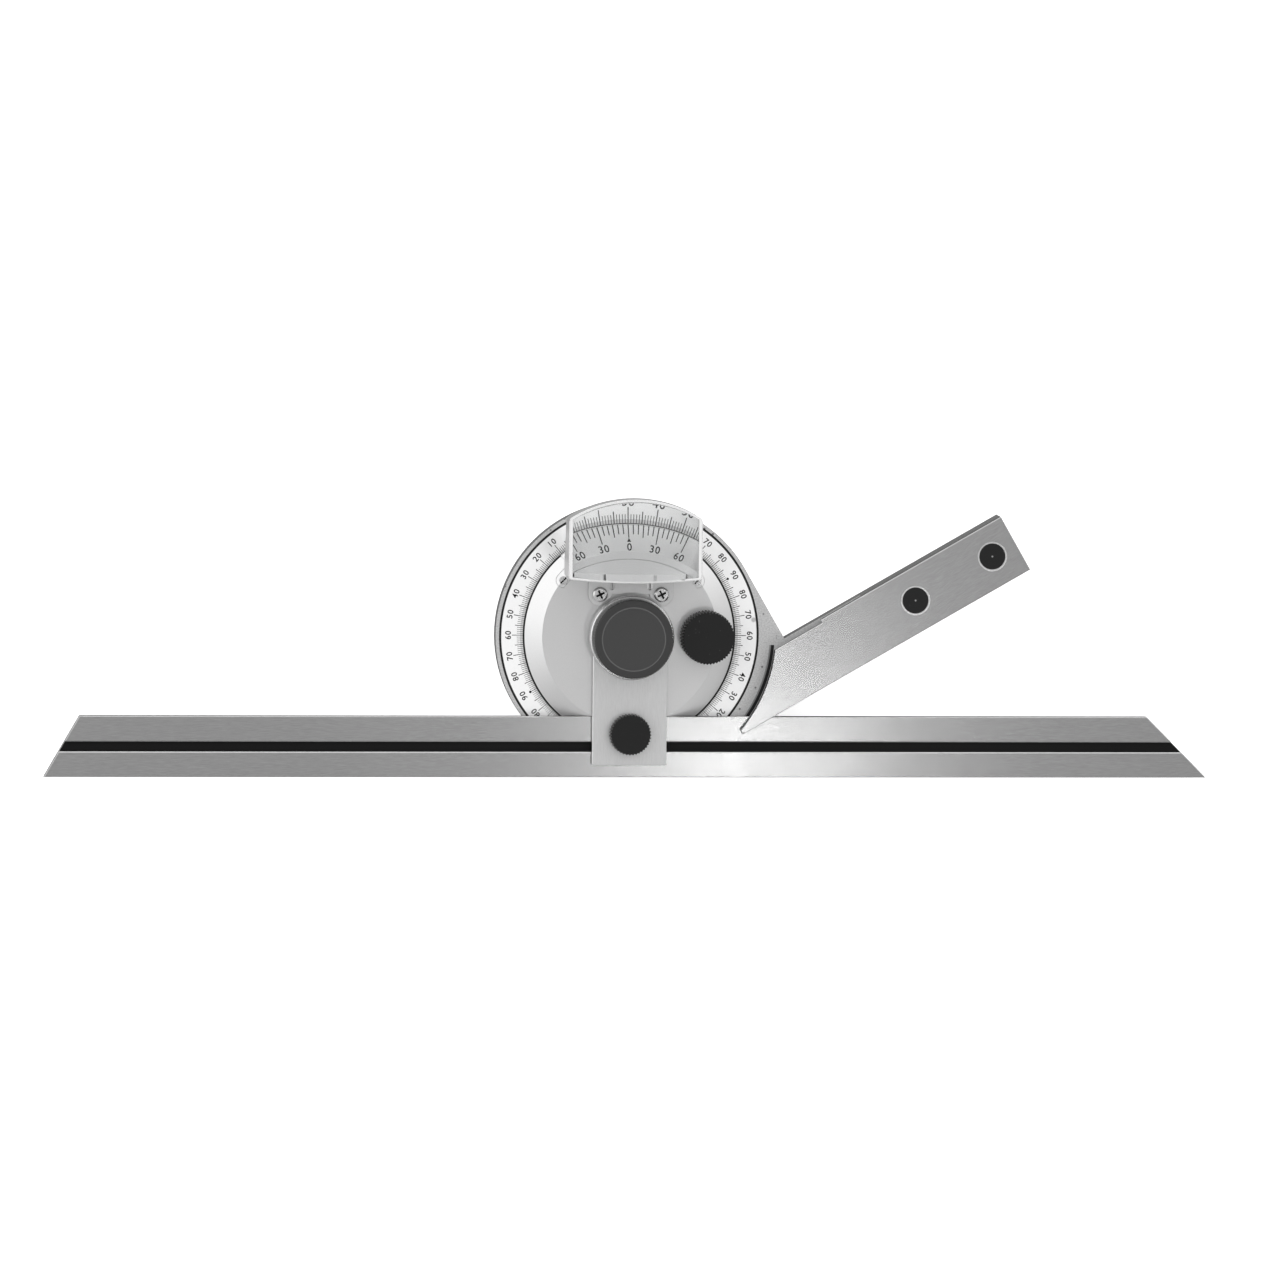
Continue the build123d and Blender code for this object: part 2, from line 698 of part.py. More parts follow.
# Lock washer between the clamp plate and the lock nut
with BuildPart() as lock_washer:
    washer(lock_washer_radius, pivot_thread_radius + shaft_gap, clamp_plate_top, lock_washer_top)
save(lock_washer.part, "lock_washer")

# Lock nut: bright flange on the pivot stud, with a recess for the cap's spigot
with BuildPart() as lock_nut:
    disc((0, 0), lock_nut_radius, lock_nut_bottom, lock_nut_top)
    chamfer(lock_nut.edges().filter_by(GeomType.CIRCLE), lock_nut_chamfer)
    disc((0, 0), pivot_thread_radius + thread_gap, lock_nut_bottom, lock_nut_top, Mode.SUBTRACT)
    disc((0, 0), lock_spigot_radius, lock_nut_top - lock_spigot_depth, lock_nut_top, Mode.SUBTRACT)
save(lock_nut.part, "lock_nut")

# Lock cap: dark finely knurled grip, pressed into the nut
with BuildPart() as lock_cap:
    heights = (lock_nut_top, lock_cap_top)
    knurled(lock_cap_radius, lock_knurl_depth, lock_knurl_pitch, *heights, lock_cap_chamfer)
    disc((0, 0), lock_spigot_radius, lock_nut_top - lock_spigot_depth + turning_gap, lock_nut_top)
    with BuildSketch(Plane.XY.offset(lock_cap_top)):
        Circle(cap_ring_radius + cap_ring_width / 2)
        Circle(cap_ring_radius - cap_ring_width / 2, mode=Mode.SUBTRACT)
    extrude(amount=-cap_ring_depth, mode=Mode.SUBTRACT)
save(lock_cap.part, "lock_cap")

# Magnifier bracket: springy sheet with two slits, brazed under the magnifier's near wall
with BuildPart() as magnifier_bracket:
    with BuildSketch(Plane.XY.offset(plateau_top)):
        with Locations((0, (bracket_screw_y + bracket_end) / 2)):
            Rectangle(2 * bracket_half_width, bracket_end - bracket_screw_y)
        with Locations(*bracket_screw_places):
            Circle(bracket_ear_radius)
        for side in (-1, 1):
            with Locations((side * bracket_slit_x, (bracket_slit_start + bracket_end) / 2)):
                Rectangle(bracket_slit_width, bracket_end - bracket_slit_start, mode=Mode.SUBTRACT)
            with Locations((side * bracket_slit_x, bracket_slit_start)):
                Circle(bracket_slit_end_radius, mode=Mode.SUBTRACT)
        Circle(bracket_hub_radius, mode=Mode.SUBTRACT)
    extrude(amount=bracket_thickness)
    for place in bracket_screw_places:
        disc(place, bracket_screw_shank_radius, plateau_top, bracket_top, Mode.SUBTRACT)
save(magnifier_bracket.part, "magnifier_bracket")

# Two cross-slotted screws of the bracket
with BuildPart() as bracket_screws:
    head_top = bracket_top + bracket_screw_head_height
    for place in bracket_screw_places:
        disc(place, bracket_screw_head_radius, bracket_top, head_top)
    chamfer(bracket_screws.edges().group_by(Axis.Z)[-1], bracket_screw_bevel)
    for place in bracket_screw_places:
        disc(place, bracket_screw_shank_radius, bracket_top - bracket_screw_length, bracket_top)
        for angle in (25, 115):
            slot(place, cross_slot_length, cross_slot_width, head_top - cross_slot_depth, head_top, angle)
save(bracket_screws.part, "bracket_screws")

# Magnifier frame: tall walls round the lens, cut away towards the far end to let light in
with BuildPart() as magnifier_frame:
    extrude(bezel_outline(bracket_top), amount=bezel_height)
    chamfer(magnifier_frame.faces().sort_by(Axis.Z)[-1].outer_wire().edges(), bezel_edge_bevel)
    extrude(bezel_opening(bracket_top), amount=bezel_height, mode=Mode.SUBTRACT)
    with BuildSketch(Plane.YZ):
        with BuildLine():
            Polyline(
                (bezel_skirt_start, bracket_top),
                (bezel_crown_top, bracket_top),
                (bezel_crown_top, bracket_top + bezel_skirt_rise),
                close=True,
            )
        make_face()
    extrude(amount=bezel_half_width, both=True, mode=Mode.SUBTRACT)
save(magnifier_frame.part, "magnifier_frame")

# Magnifier lens: flat below and convex above, cemented into its frame
with BuildPart() as magnifier_lens:
    extrude(bezel_opening(lens_flat), amount=lens_thickness)
    with Locations((0, lens_centre, lens_flat + lens_thickness - lens_curvature)):
        Sphere(lens_curvature, mode=Mode.INTERSECT)
save(magnifier_lens.part, "magnifier_lens")

# Blade: grooved along its whole length, with its ends cut at the two set angles
with BuildPart() as blade:
    left_run = blade_width / tan(radians(blade_left_angle))
    right_run = blade_width / tan(radians(blade_right_angle))
    with BuildSketch(Plane.XY.offset(blade_bottom)):
        with BuildLine():
            Polyline(
                (-blade_length / 2, -working_edge),
                (blade_length / 2, -working_edge),
                (blade_length / 2 - right_run, -blade_inner_edge),
                (-blade_length / 2 + left_run, -blade_inner_edge),
                close=True,
            )
        make_face()
    extrude(amount=blade_thickness)
    chamfer(blade.faces().sort_by(Axis.Z)[-1].edges(), blade_edge_chamfer)
    with BuildSketch(Plane.YZ):
        with BuildLine():
            Polyline(*groove_section(0), close=True)
        make_face()
        with BuildLine():
            Polyline(
                (-blade_middle - groove_width / 2 - groove_mouth_width, blade_top),
                (-blade_middle - groove_width / 2, blade_top - groove_mouth_depth),
                (-blade_middle + groove_width / 2, blade_top - groove_mouth_depth),
                (-blade_middle + groove_width / 2 + groove_mouth_width, blade_top),
                close=True,
            )
        make_face()
    extrude(amount=blade_length, both=True, mode=Mode.SUBTRACT)
save(blade.part, "blade")
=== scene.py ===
import math
import bmesh
import bpy
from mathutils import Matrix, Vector


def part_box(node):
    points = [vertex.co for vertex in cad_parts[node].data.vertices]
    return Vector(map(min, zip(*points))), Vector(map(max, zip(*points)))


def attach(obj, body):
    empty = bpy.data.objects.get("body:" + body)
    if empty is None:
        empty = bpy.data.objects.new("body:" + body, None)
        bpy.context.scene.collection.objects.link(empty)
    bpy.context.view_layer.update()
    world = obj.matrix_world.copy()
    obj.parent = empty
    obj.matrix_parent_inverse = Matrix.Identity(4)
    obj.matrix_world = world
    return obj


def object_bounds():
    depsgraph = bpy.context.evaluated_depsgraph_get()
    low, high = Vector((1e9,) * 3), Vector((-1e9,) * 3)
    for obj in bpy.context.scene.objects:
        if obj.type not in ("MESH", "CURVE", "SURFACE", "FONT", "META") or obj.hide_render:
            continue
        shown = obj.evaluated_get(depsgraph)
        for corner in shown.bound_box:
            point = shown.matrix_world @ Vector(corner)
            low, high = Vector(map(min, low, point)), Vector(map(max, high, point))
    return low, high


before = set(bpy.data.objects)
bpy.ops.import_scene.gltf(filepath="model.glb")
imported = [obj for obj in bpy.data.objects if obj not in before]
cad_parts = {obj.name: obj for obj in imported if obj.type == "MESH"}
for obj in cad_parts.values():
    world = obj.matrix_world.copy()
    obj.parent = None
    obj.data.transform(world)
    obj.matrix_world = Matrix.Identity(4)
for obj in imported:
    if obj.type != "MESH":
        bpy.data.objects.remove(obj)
cadLow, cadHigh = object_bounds()
scene = bpy.context.scene
mm = 0.001
print("frame loaded:", len(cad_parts), "nodes")


# Small helpers for node trees

def addNode(tree, kind, settings=None, inputs=None):
    node = tree.nodes.new(kind)
    node.location = (220 * (len(tree.nodes) - 1), 0)
    for key, value in (settings or {}).items():
        setattr(node, key, value)
    for key, value in (inputs or {}).items():
        if isinstance(value, bpy.types.NodeSocket):
            tree.links.new(value, node.inputs[key])
        else:
            node.inputs[key].default_value = value
    return node


def math2(tree, operation, first, second):
    return addNode(tree, "ShaderNodeMath", {"operation": operation}, {0: first, 1: second}).outputs[0]


def mapRange(tree, value, fromLow, fromHigh, toLow, toHigh):
    inputs = {"Value": value, "From Min": fromLow, "From Max": fromHigh, "To Min": toLow, "To Max": toHigh}
    return addNode(tree, "ShaderNodeMapRange", None, inputs).outputs["Result"]


def newGroup(name, inputs, outputs):
    group = bpy.data.node_groups.new(name, "ShaderNodeTree")
    for socketName, default in inputs.items():
        kind = "NodeSocketVector" if isinstance(default, tuple) else "NodeSocketFloat"
        socket = group.interface.new_socket(name=socketName, in_out="INPUT", socket_type=kind)
        socket.default_value = default
    for socketName, kind in outputs.items():
        group.interface.new_socket(name=socketName, in_out="OUTPUT", socket_type="NodeSocket" + kind)
    return group, addNode(group, "NodeGroupInput"), addNode(group, "NodeGroupOutput")


def useGroup(tree, group, inputs=None):
    return addNode(tree, "ShaderNodeGroup", {"node_tree": group}, inputs)


# Effects shared by the finishes. Lengths in them are metres on the object.

def makeEdgeGroup():
    # rounded normals, and a mask of the arrises, where the finishes lay a painted highlight, on the bezel a
    # painted dark outline
    group, source, sink = newGroup("roundedEdge", {"Radius": 0.0002, "Sharpness": 4.0},
                                   {"Normal": "Vector", "Edge": "Float"})
    bevel = addNode(group, "ShaderNodeBevel", {"samples": 4}, {"Radius": source.outputs["Radius"]})
    geometry = addNode(group, "ShaderNodeNewGeometry")
    dot = addNode(group, "ShaderNodeVectorMath", {"operation": "DOT_PRODUCT"},
                  {0: bevel.outputs["Normal"], 1: geometry.outputs["Normal"]})
    turned = math2(group, "SUBTRACT", 1.0, dot.outputs["Value"])
    edge = addNode(group, "ShaderNodeMath", {"operation": "MULTIPLY", "use_clamp": True},
                   {0: turned, 1: source.outputs["Sharpness"]})
    group.links.new(bevel.outputs["Normal"], sink.inputs["Normal"])
    group.links.new(edge.outputs[0], sink.inputs["Edge"])
    return group


def makeGrainGroup():
    # straight grinding marks: long fine streaks turned to an angle on the plan
    group, source, sink = newGroup("groundGrain", {"Angle": 0.0, "Length": 0.006, "Width": 0.0002},
                                   {"Shade": "Float", "Height": "Float"})
    coords = addNode(group, "ShaderNodeTexCoord")
    turn = addNode(group, "ShaderNodeVectorRotate", {"rotation_type": "Z_AXIS"},
                   {"Vector": coords.outputs["Object"], "Angle": source.outputs["Angle"]})
    along = math2(group, "DIVIDE", 1.0, source.outputs["Length"])
    across = math2(group, "DIVIDE", 1.0, source.outputs["Width"])
    stretch = addNode(group, "ShaderNodeCombineXYZ", None, {"X": along, "Y": across, "Z": across})
    spread = addNode(group, "ShaderNodeVectorMath", {"operation": "MULTIPLY"},
                     {0: turn.outputs[0], 1: stretch.outputs[0]})
    streaks = addNode(group, "ShaderNodeTexNoise", None,
                      {"Vector": spread.outputs[0], "Scale": 1.0, "Detail": 4.0, "Roughness": 0.65})
    hair = addNode(group, "ShaderNodeVectorMath", {"operation": "MULTIPLY"},
                   {0: spread.outputs[0], 1: (2.3, 4.1, 4.1)})
    scratches = addNode(group, "ShaderNodeTexNoise", None,
                        {"Vector": hair.outputs[0], "Scale": 1.0, "Detail": 2.0})
    both = math2(group, "ADD", streaks.outputs["Fac"], scratches.outputs["Fac"])
    group.links.new(streaks.outputs["Fac"], sink.inputs["Shade"])
    group.links.new(math2(group, "MULTIPLY", both, 0.5), sink.inputs["Height"])
    return group


def makeBlastGroup():
    # blasted skin: fine pits, soft clouds and a few dark specks
    group, source, sink = newGroup("blastedSkin", {"Pit": 0.00018, "Speck": 0.0011, "Amount": 0.3},
                                   {"Shade": "Float", "Height": "Float", "Speck": "Float"})
    coords = addNode(group, "ShaderNodeTexCoord")
    pitScale = math2(group, "DIVIDE", 1.0, source.outputs["Pit"])
    pits = addNode(group, "ShaderNodeTexNoise", None,
                   {"Vector": coords.outputs["Object"], "Scale": pitScale, "Detail": 3.0, "Roughness": 0.7})
    speckScale = math2(group, "DIVIDE", 1.0, source.outputs["Speck"])
    cells = addNode(group, "ShaderNodeTexVoronoi", None,
                    {"Vector": coords.outputs["Object"], "Scale": speckScale, "Randomness": 1.0})
    inside = mapRange(group, cells.outputs["Distance"], 0.1, 0.2, 1.0, 0.0)
    chance = addNode(group, "ShaderNodeSeparateColor", None, {"Color": cells.outputs["Color"]})
    chosen = math2(group, "LESS_THAN", chance.outputs[0], source.outputs["Amount"])
    group.links.new(pits.outputs["Fac"], sink.inputs["Shade"])
    group.links.new(pits.outputs["Fac"], sink.inputs["Height"])
    group.links.new(math2(group, "MULTIPLY", inside, chosen), sink.inputs["Speck"])
    return group


def makeTurnedGroup():
    # lathe marks: fine rings about an upright axis
    group, source, sink = newGroup("turnedRings", {"Centre": (0.0, 0.0, 0.0), "Spacing": 0.0002},
                                   {"Shade": "Float", "Height": "Float"})
    coords = addNode(group, "ShaderNodeTexCoord")
    away = addNode(group, "ShaderNodeVectorMath", {"operation": "SUBTRACT"},
                   {0: coords.outputs["Object"], 1: source.outputs["Centre"]})
    flat = addNode(group, "ShaderNodeVectorMath", {"operation": "MULTIPLY"},
                   {0: away.outputs[0], 1: (1.0, 1.0, 0.0)})
    radius = addNode(group, "ShaderNodeVectorMath", {"operation": "LENGTH"}, {0: flat.outputs[0]})
    turns = math2(group, "DIVIDE", radius.outputs["Value"], source.outputs["Spacing"])
    rings = addNode(group, "ShaderNodeTexNoise", {"noise_dimensions": "1D"},
                    {"W": turns, "Scale": 1.0, "Detail": 3.0})
    group.links.new(rings.outputs["Fac"], sink.inputs["Shade"])
    group.links.new(rings.outputs["Fac"], sink.inputs["Height"])
    return group


def makeHandlingGroup():
    # faint clouds left by hands and oil
    group, source, sink = newGroup("handling", {"Size": 0.02}, {"Smudge": "Float"})
    coords = addNode(group, "ShaderNodeTexCoord")
    scale = math2(group, "DIVIDE", 1.0, source.outputs["Size"])
    cloud = addNode(group, "ShaderNodeTexNoise", None,
                    {"Vector": coords.outputs["Object"], "Scale": scale, "Detail": 5.0, "Roughness": 0.6})
    group.links.new(cloud.outputs["Fac"], sink.inputs["Smudge"])
    return group


def makeBandGroup():
    # a ring about an upright axis, between two radii and below a limit in y
    group, source, sink = newGroup("ringBand", {"Centre": (0.0, 0.0, 0.0), "Inner": 0.03, "Outer": 0.031,
                                                "Soft": 0.00005, "Top": 1.0}, {"Band": "Float"})
    coords = addNode(group, "ShaderNodeTexCoord")
    away = addNode(group, "ShaderNodeVectorMath", {"operation": "SUBTRACT"},
                   {0: coords.outputs["Object"], 1: source.outputs["Centre"]})
    flat = addNode(group, "ShaderNodeVectorMath", {"operation": "MULTIPLY"},
                   {0: away.outputs[0], 1: (1.0, 1.0, 0.0)})
    length = addNode(group, "ShaderNodeVectorMath", {"operation": "LENGTH"}, {0: flat.outputs[0]})
    radius = length.outputs["Value"]
    soft = source.outputs["Soft"]
    inner = source.outputs["Inner"]
    outer = source.outputs["Outer"]
    enter = mapRange(group, radius, math2(group, "SUBTRACT", inner, soft),
                     math2(group, "ADD", inner, soft), 0.0, 1.0)
    leave = mapRange(group, radius, math2(group, "SUBTRACT", outer, soft),
                     math2(group, "ADD", outer, soft), 1.0, 0.0)
    place = addNode(group, "ShaderNodeSeparateXYZ", None, {"Vector": coords.outputs["Object"]})
    under = math2(group, "LESS_THAN", place.outputs["Y"], source.outputs["Top"])
    ring = math2(group, "MULTIPLY", enter, leave)
    group.links.new(math2(group, "MULTIPLY", ring, under), sink.inputs["Band"])
    return group


def makeFacingGroup():
    # masks of the upright walls, and of what lies below a level
    group, source, sink = newGroup("wallsAndFloors", {"Level": 0.0}, {"Wall": "Float", "Below": "Float"})
    geometry = addNode(group, "ShaderNodeNewGeometry")
    facing = addNode(group, "ShaderNodeSeparateXYZ", None, {"Vector": geometry.outputs["True Normal"]})
    tilt = math2(group, "ABSOLUTE", facing.outputs["Z"], 0.0)
    coords = addNode(group, "ShaderNodeTexCoord")
    place = addNode(group, "ShaderNodeSeparateXYZ", None, {"Vector": coords.outputs["Object"]})
    group.links.new(mapRange(group, tilt, 0.3, 0.6, 1.0, 0.0), sink.inputs["Wall"])
    group.links.new(math2(group, "LESS_THAN", place.outputs["Z"], source.outputs["Level"]),
                    sink.inputs["Below"])
    return group


edgeGroup = makeEdgeGroup()
grainGroup = makeGrainGroup()
blastGroup = makeBlastGroup()
turnedGroup = makeTurnedGroup()
handlingGroup = makeHandlingGroup()
bandGroup = makeBandGroup()
facingGroup = makeFacingGroup()
print("shared effects built")


# Finishes

def newFinish(name):
    material = bpy.data.materials.new(name)
    material.use_nodes = True
    tree = material.node_tree
    tree.nodes.clear()
    shader = addNode(tree, "ShaderNodeBsdfPrincipled")
    output = addNode(tree, "ShaderNodeOutputMaterial")
    tree.links.new(shader.outputs[0], output.inputs["Surface"])
    return material, tree, shader


def asColour(value):
    # a grey from one number, a colour from three
    return (*value, 1.0) if isinstance(value, tuple) else (value, value, value, 1.0)


def shadeBetween(tree, mask, dark, light, low=0.25, high=0.75):
    # a shade that runs from dark to light as the mask runs from low to high
    spread = mapRange(tree, mask, low, high, 0.0, 1.0)
    mix = addNode(tree, "ShaderNodeMix", {"data_type": "RGBA"})
    tree.links.new(spread, mix.inputs["Factor"])
    mix.inputs[6].default_value = asColour(dark)
    mix.inputs[7].default_value = asColour(light)
    return mix.outputs[2]


def mixOver(tree, under, mask, value, strength=1.0):
    # lays a plain grey over a colour where a mask says so
    mix = addNode(tree, "ShaderNodeMix", {"data_type": "RGBA"})
    tree.links.new(math2(tree, "MULTIPLY", mask, strength), mix.inputs["Factor"])
    tree.links.new(under, mix.inputs[6])
    mix.inputs[7].default_value = asColour(value)
    return mix.outputs[2]


def addRoughness(tree, shader, mask, look, low=0.3, high=0.7):
    rough = mapRange(tree, mask, low, high, look["roughLow"], look["roughHigh"])
    tree.links.new(rough, shader.inputs["Roughness"])


def addBump(tree, shader, height, distance, strength, edge):
    bump = addNode(tree, "ShaderNodeBump", None,
                   {"Height": height, "Distance": distance, "Strength": strength,
                    "Normal": edge.outputs["Normal"]})
    tree.links.new(bump.outputs[0], shader.inputs["Normal"])


def addBands(tree, colour, bands):
    # lays each band's grey over the colour in its ring; the tables below say what each paints
    for centre, inner, outer, shade, *top in bands:
        band = useGroup(tree, bandGroup, {"Centre": centre, "Inner": inner * mm, "Outer": outer * mm})
        if top:
            band.inputs["Top"].default_value = top[0] * mm
        colour = mixOver(tree, colour, band.outputs["Band"], shade)
    return colour


def addWalls(tree, colour, look):
    # painted shade: the upright walls are darkened towards the look's wallShade
    facing = useGroup(tree, facingGroup)
    return mixOver(tree, colour, facing.outputs["Wall"], look["wallShade"], look["wallAmount"])


def groundSteel(name, angle, look, bands=()):
    material, tree, shader = newFinish(name)
    edge = useGroup(tree, edgeGroup, {"Radius": look["edgeRadius"]})
    grain = useGroup(tree, grainGroup, {"Angle": -math.radians(angle), "Length": look["grainLength"],
                                        "Width": look["grainWidth"]})
    handling = useGroup(tree, handlingGroup, {"Size": look["smudgeSize"]})
    colour = shadeBetween(tree, grain.outputs["Shade"], look["dark"], look["light"])
    colour = addWalls(tree, colour, look)
    # painted highlight along the edges
    colour = mixOver(tree, colour, edge.outputs["Edge"], look["edgeShade"], look["edgeAmount"])
    colour = addBands(tree, colour, bands)
    tree.links.new(colour, shader.inputs["Base Color"])
    addRoughness(tree, shader, handling.outputs["Smudge"], look)
    shader.inputs["Metallic"].default_value = 1.0
    addBump(tree, shader, grain.outputs["Height"], look["grainDepth"], look["grainStrength"], edge)
    return material


def blastedSteel(name, look, bands=()):
    material, tree, shader = newFinish(name)
    edge = useGroup(tree, edgeGroup, {"Radius": look["edgeRadius"]})
    skin = useGroup(tree, blastGroup, {"Pit": look["pit"], "Speck": look["speckSpacing"],
                                       "Amount": look["speckAmount"]})
    handling = useGroup(tree, handlingGroup, {"Size": look["smudgeSize"]})
    colour = shadeBetween(tree, skin.outputs["Shade"], look["dark"], look["light"])
    colour = mixOver(tree, colour, skin.outputs["Speck"], look["speckShade"])
    colour = addWalls(tree, colour, look)
    # painted highlight along the edges, a painted dark outline on the bezel
    colour = mixOver(tree, colour, edge.outputs["Edge"], look["edgeShade"], look["edgeAmount"])
    colour = addBands(tree, colour, bands)
    tree.links.new(colour, shader.inputs["Base Color"])
    addRoughness(tree, shader, handling.outputs["Smudge"], look)
    shader.inputs["Metallic"].default_value = look["metallic"]
    addBump(tree, shader, skin.outputs["Height"], look["pitDepth"], look["pitStrength"], edge)
    return material


def turnedMetal(name, centre, look, slotLevel=None):
    # where a level is given, what lies below it, such as a screw's slots, gets painted shade
    material, tree, shader = newFinish(name)
    edge = useGroup(tree, edgeGroup, {"Radius": look["edgeRadius"]})
    rings = useGroup(tree, turnedGroup, {"Centre": centre, "Spacing": look["spacing"]})
    handling = useGroup(tree, handlingGroup, {"Size": look["smudgeSize"]})
    colour = shadeBetween(tree, rings.outputs["Shade"], look["dark"], look["light"])
    # painted highlight along the edges
    colour = mixOver(tree, colour, edge.outputs["Edge"], look["edgeShade"], look["edgeAmount"])
    if slotLevel is not None:
        facing = useGroup(tree, facingGroup, {"Level": slotLevel * mm})
        colour = mixOver(tree, colour, facing.outputs["Below"], look["slotShade"])
    tree.links.new(colour, shader.inputs["Base Color"])
    addRoughness(tree, shader, handling.outputs["Smudge"], look)
    shader.inputs["Metallic"].default_value = look["metallic"]
    addBump(tree, shader, rings.outputs["Height"], look["ringDepth"], look["ringStrength"], edge)
    return material


def blackFinish(name, look, bands=()):
    material, tree, shader = newFinish(name)
    edge = useGroup(tree, edgeGroup, {"Radius": look["edgeRadius"], "Sharpness": look["edgeSharpness"]})
    skin = useGroup(tree, blastGroup, {"Pit": look["pit"], "Speck": look["speckSpacing"],
                                       "Amount": look["speckAmount"]})
    colour = shadeBetween(tree, skin.outputs["Shade"], look["dark"], look["light"])
    colour = mixOver(tree, colour, skin.outputs["Speck"], look["speckShade"])
    # painted highlight along the edges
    colour = mixOver(tree, colour, edge.outputs["Edge"], look["edgeShade"])
    colour = addBands(tree, colour, bands)
    tree.links.new(colour, shader.inputs["Base Color"])
    addRoughness(tree, shader, skin.outputs["Shade"], look)
    shader.inputs["Specular IOR Level"].default_value = look["gloss"]
    addBump(tree, shader, skin.outputs["Height"], look["pitDepth"], look["pitStrength"], edge)
    return material


def lensGlass(name, look):
    # clear glass; light on its way to the scales passes it freely
    material, tree, shader = newFinish(name)
    output = tree.nodes["Material Output"]
    handling = useGroup(tree, handlingGroup, {"Size": look["smudgeSize"]})
    addRoughness(tree, shader, handling.outputs["Smudge"], look, 0.35, 0.75)
    shader.inputs["Base Color"].default_value = (*look["tint"], 1.0)
    shader.inputs["IOR"].default_value = look["ior"]
    shader.inputs["Transmission Weight"].default_value = 1.0
    clear = addNode(tree, "ShaderNodeBsdfTransparent")
    path = addNode(tree, "ShaderNodeLightPath")
    choice = addNode(tree, "ShaderNodeMixShader", None,
                     {0: path.outputs["Is Shadow Ray"], 1: shader.outputs[0], 2: clear.outputs[0]})
    tree.links.new(choice.outputs[0], output.inputs["Surface"])
    return material


groundLook = {
    "dark": 0.53, "light": 0.68, "edgeShade": 0.95, "edgeAmount": 1.0, "edgeRadius": 0.00012,
    "grainLength": 0.0022, "grainWidth": 0.00016, "grainDepth": 0.00001, "grainStrength": 0.12,
    "roughLow": 0.19, "roughHigh": 0.22, "smudgeSize": 0.03, "wallShade": 0.1, "wallAmount": 0.85,
}
coverLook = dict(groundLook, dark=0.82, light=0.94, grainStrength=0.08, roughLow=0.42, roughHigh=0.48,
                 edgeRadius=0.00022, wallShade=0.25)
stockLook = dict(groundLook, grainStrength=0.01, edgeAmount=0.5)
bracketLook = dict(coverLook, dark=0.84, light=0.94, wallShade=0.1, wallAmount=1.0)
blastedLook = {
    "dark": 0.5, "light": 0.82, "edgeShade": 0.6, "edgeAmount": 0.5, "edgeRadius": 0.00015, "metallic": 0.6,
    "pit": 0.0004, "pitDepth": 0.00006, "pitStrength": 0.45,
    "speckSpacing": 0.0019, "speckAmount": 0.3, "speckShade": 0.2,
    "roughLow": 0.45, "roughHigh": 0.55, "smudgeSize": 0.015, "wallShade": 0.12, "wallAmount": 0.8,
}
satinLook = {
    "dark": 0.76, "light": 0.86, "edgeShade": 0.95, "edgeAmount": 0.8, "edgeRadius": 0.00012, "metallic": 0.85,
    "pit": 0.00012, "pitDepth": 0.00001, "pitStrength": 0.25,
    "speckSpacing": 0.004, "speckAmount": 0.06, "speckShade": 0.5,
    "roughLow": 0.3, "roughHigh": 0.38, "smudgeSize": 0.02, "wallShade": 0.1, "wallAmount": 0.7,
}
dialLook = dict(satinLook, dark=0.92, light=0.98, roughLow=0.6, roughHigh=0.7, metallic=0.0)
vernierLook = dict(satinLook, dark=0.78, light=0.88, metallic=0.7)
bezelLook = dict(satinLook, dark=0.9, light=0.95, metallic=0.2, roughLow=0.3, roughHigh=0.36,
                 wallShade=0.4, wallAmount=1.0, edgeShade=0.14, edgeAmount=0.9, edgeRadius=0.0003)
knobLook = {
    "dark": 0.006, "light": 0.014, "edgeShade": 0.09, "edgeRadius": 0.00008, "edgeSharpness": 1.2,
    "pit": 0.00015, "pitDepth": 0.00002, "pitStrength": 0.5, "gloss": 0.3,
    "speckSpacing": 0.0009, "speckAmount": 0.12, "speckShade": 0.04,
    "roughLow": 0.42, "roughHigh": 0.55,
}
capLook = dict(knobLook, dark=0.04, light=0.052, edgeShade=0.16, pitStrength=0.15, gloss=0.4,
               speckAmount=0.03, speckShade=0.1, roughLow=0.35, roughHigh=0.45)
greyEnamelLook = dict(knobLook, dark=0.1, light=0.14, edgeShade=0.14, pitStrength=0.1, gloss=0.15,
                      speckAmount=0.0)
enamelAndShadowLook = dict(knobLook, dark=0.004, light=0.009, edgeShade=0.02, pitStrength=0.1, gloss=0.15,
                  speckAmount=0.0, roughLow=0.4, roughHigh=0.5)
brightLook = {
    "dark": 0.66, "light": 0.8, "edgeShade": 0.95, "edgeAmount": 0.8,
    "edgeRadius": 0.00015, "metallic": 1.0, "spacing": 0.00025, "ringDepth": 0.00001, "slotShade": 0.015,
    "ringStrength": 0.12, "roughLow": 0.2, "roughHigh": 0.28, "smudgeSize": 0.008,
}
turnedLook = dict(brightLook, dark=0.42, light=0.6, ringStrength=0.3,
                  roughLow=0.28, roughHigh=0.36)
brassLook = dict(turnedLook, dark=(0.5, 0.34, 0.12), light=(0.78, 0.58, 0.26), edgeAmount=0.0)
glassLook = {"tint": (0.985, 0.99, 0.99), "ior": 1.6, "roughLow": 0.0, "roughHigh": 0.01, "smudgeSize": 0.01}

# bands: painted shade in seams, a painted shadow along the stock's end and on its wall, painted highlight
# rings, a greyer strip and lighter spots; centre, inner and outer radius in millimetres, a shade, and for some
# the y where they end
pivot = (0.0, 0.0, 0.0)
# painted shade in the seams at the dial's inner and outer edge, and a greyer strip inside the scale's start
dialBands = [(pivot, 27.2, 27.45, 0.03), (pivot, 27.45, 28.1, 0.66), (pivot, 32.92, 33.3, 0.02)]
# painted shade in the seam between turret and dial
turretBands = [(pivot, 26.95, 27.4, 0.03)]
